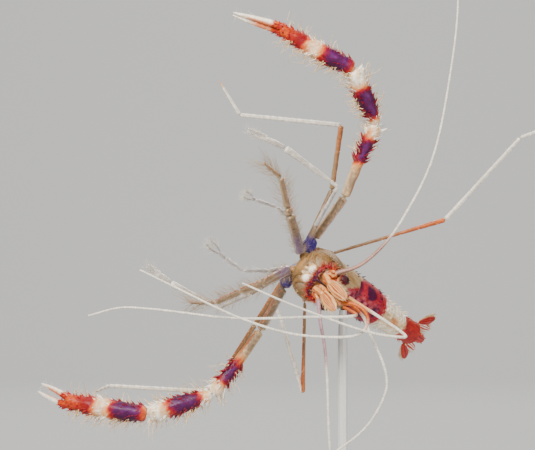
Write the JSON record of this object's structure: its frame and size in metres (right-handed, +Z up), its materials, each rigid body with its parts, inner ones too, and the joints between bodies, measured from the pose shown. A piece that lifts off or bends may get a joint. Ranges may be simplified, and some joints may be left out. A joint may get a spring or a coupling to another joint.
{
  "type": "banded coral shrimp, life-size still model on a display stand",
  "caption": "Life-size still model of a banded coral shrimp with spread claws and long feelers, held up by a plain stand.",
  "frame": {"origin": "middle of the underside of the stand's foot", "axes": "+Z up; -Y the way the shrimp's face looks; +X to the right as seen by someone facing its head"},
  "size_m": [0.1005, 0.0537, 0.139],
  "materials": {
    "shell_red": "crimson and purple shell with paler spines, satin gloss",
    "shell_white": "opaque cream-white shell, satin",
    "shell_clear": "translucent tan shell, wet gloss",
    "limb_clear": "translucent greyish limb with an orange tinge, wet gloss",
    "violet": "blue-violet joint skin, satin",
    "orange": "translucent orange-tan shell, satin",
    "feeler": "ringed white thread, satin",
    "eye": "dark maroon cornea, high gloss",
    "stand": "plain pale grey, satin"
  },
  "bodies": {
    "root": {"carapace": "shell_clear", "sternum": "limb_clear", "mouthparts": "shell_white", "eyestalk_right": "limb_clear", "eye_right": "eye", "eyestalk_left": "limb_clear", "eye_left": "eye", "abdomen_1": "shell_red", "abdomen_2": "shell_red", "abdomen_3": "shell_red", "abdomen_4": "shell_white", "abdomen_5": "shell_white", "abdomen_6": "shell_red", "telson": "shell_white", "uropod_right": "shell_red", "uropod_left": "shell_red", "antennule_right": "orange", "antenna_base_right": "orange", "antenna_scale_right": "orange", "antennule_left": "orange", "antenna_base_left": "orange", "antenna_scale_left": "orange", "antenna_right_1": "feeler", "antenna_right_2": "feeler", "antenna_left_1": "feeler", "antenna_left_2": "feeler", "antennule_left_outer": "feeler", "antennule_left_inner_1": "feeler", "antennule_left_inner_2": "feeler", "antennule_right_outer_1": "feeler", "antennule_right_outer_2": "feeler", "antennule_right_inner": "feeler", "maxilliped_right": "limb_clear", "leg_1_right": "limb_clear", "leg_2_right": "limb_clear", "leg_4_upper_right": "orange", "leg_4_lower_right": "shell_white", "leg_5_upper_right": "orange", "leg_5_lower_right": "shell_white", "maxilliped_left": "limb_clear", "leg_1_left": "limb_clear", "leg_2_left": "limb_clear", "leg_4_upper_left": "orange", "leg_4_lower_left": "shell_white", "leg_5_upper_left": "orange", "leg_5_lower_left": "shell_white", "claw_base_right": "violet", "claw_ischium_right": "limb_clear", "claw_merus_right": "shell_red", "claw_carpus_right": "shell_red", "claw_palm_right": "shell_red", "claw_finger_right": "shell_white", "claw_base_left": "violet", "claw_ischium_left": "limb_clear", "claw_merus_left": "shell_red", "claw_carpus_left": "shell_red", "claw_palm_left": "shell_red", "claw_finger_left": "shell_white", "stand_base": "stand", "stand_rod": "stand"}
  },
  "joints": []
}
